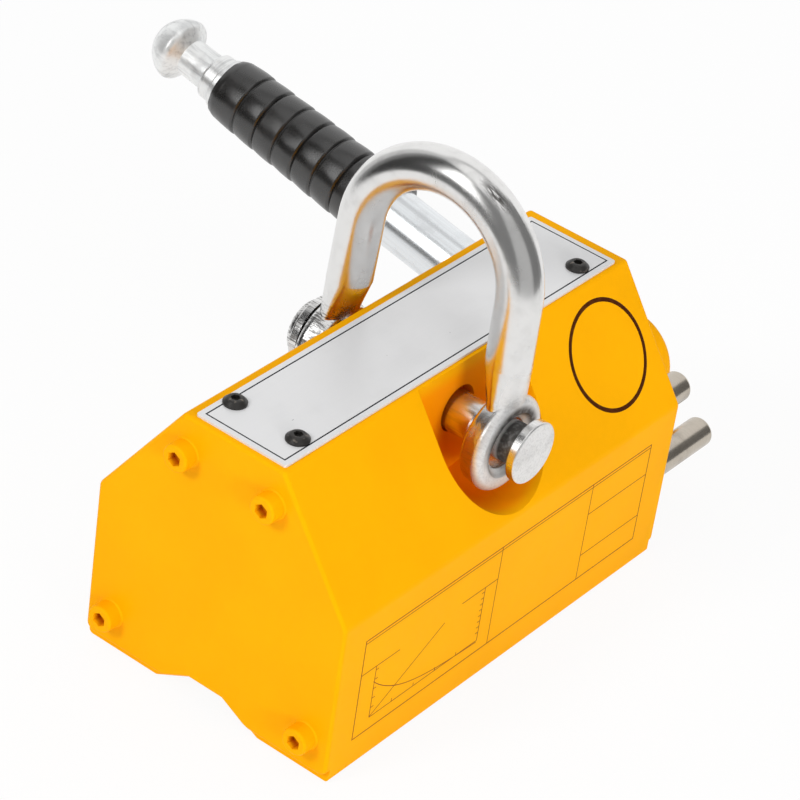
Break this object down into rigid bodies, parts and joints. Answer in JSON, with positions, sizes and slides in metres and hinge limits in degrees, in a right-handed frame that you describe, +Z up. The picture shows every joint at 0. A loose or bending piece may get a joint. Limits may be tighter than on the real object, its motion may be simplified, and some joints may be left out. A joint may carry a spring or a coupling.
{
  "type": "permanent magnetic lifter",
  "caption": "Permanent magnetic lifter: ridged steel magnet block with a swing shackle on top and a lever at one end that turns the inner magnet rotor on and off.",
  "frame": {"origin": "middle of the lifting face, on the plane of the two pole faces, under the shackle's pivot", "axes": "+X along the rotor towards the lever's end, -Y the front, +Z up towards the shackle"},
  "size_m": [0.2137, 0.2395, 0.1573],
  "materials": {
    "paint": "semi-gloss yellow-orange paint",
    "chrome": "bright zinc-chrome plate",
    "bare_steel": "turned bare steel",
    "magnet": "nickel-plated magnet",
    "slot_bars": "drawn brass",
    "bushes": "turned bronze",
    "plate": "satin sheet",
    "black_screws": "black oxide",
    "grip": "moulded black rubber"
  },
  "bodies": {
    "body": {"pole_front": "paint", "pole_rear": "paint", "keel_bar": "slot_bars", "saddle_bar": "slot_bars", "crown_bar": "slot_bars", "fixed_magnets": "magnet", "cover_near": "paint", "cover_far": "paint", "cover_screws_near": "paint", "cover_screws_far": "paint", "name_plate": "plate", "name_plate_screws": "black_screws", "bush_near": "bushes", "bush_far": "bushes", "stop_pins": "bare_steel", "safety_pins": "bare_steel"},
    "handle": {"rotor_pole_front": "bare_steel", "rotor_pole_rear": "bare_steel", "rotor_magnets": "magnet", "rotor_flange_near": "bare_steel", "rotor_shaft": "bare_steel", "rotor_screws": "bare_steel", "hub": "paint", "handle_tube": "chrome", "grip": "grip", "collar": "chrome", "return_spring": "bare_steel"},
    "button": {"push_button": "chrome", "lock_key": "bare_steel"},
    "shackle": {"shackle": "chrome", "shackle_pin": "chrome", "pin_disc": "chrome"}
  },
  "joints": [
    {"name": "lever_turn", "type": "hinge", "parent": "body", "child": "handle", "pos_m": [0, 0, 0.031], "axis": [1, 0, 0], "range_deg": [0, 156.66]},
    {"name": "button_press", "type": "slide", "parent": "handle", "child": "button", "axis": [0, -0.9793, -0.2023], "range_m": [0, 0.0085], "stiffness_N_per_m": 400, "springref_m": -0.006, "deforming": ["return_spring"]},
    {"name": "shackle_swing", "type": "hinge", "parent": "body", "child": "shackle", "pos_m": [0, 0, 0.078], "axis": [0, 1, 0], "range_deg": [-50, 45.2]}
  ]
}
